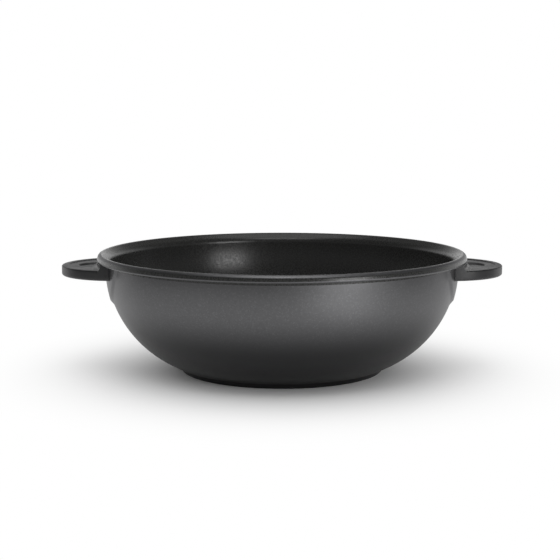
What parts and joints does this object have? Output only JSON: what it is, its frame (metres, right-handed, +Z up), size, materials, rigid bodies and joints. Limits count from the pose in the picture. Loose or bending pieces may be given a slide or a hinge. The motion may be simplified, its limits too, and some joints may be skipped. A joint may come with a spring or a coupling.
{
  "type": "nonstick wok",
  "caption": "Deep round-bottomed cast wok with a flat foot, a thick rolled rim, a nonstick lining and a moulded half-round grip on each side.",
  "frame": {"origin": "centre of the foot, on the surface that the wok stands on", "axes": "+Z up along the bowl's axis, +X through the grips, +Y across them"},
  "size_m": [0.431, 0.36, 0.116],
  "materials": {
    "cast_alloy": "dark speckled semi-gloss coat on the casting",
    "nonstick": "satin speckled nonstick coating",
    "grip_plastic": "satin black moulded",
    "steel": "plain stainless"
  },
  "bodies": {
    "root": {"cast_bowl": "cast_alloy", "nonstick_coating": "nonstick", "right_grip": "grip_plastic", "left_grip": "grip_plastic", "right_grip_screw": "steel", "left_grip_screw": "steel", "right_spring_washer": "steel", "left_spring_washer": "steel"}
  },
  "joints": []
}
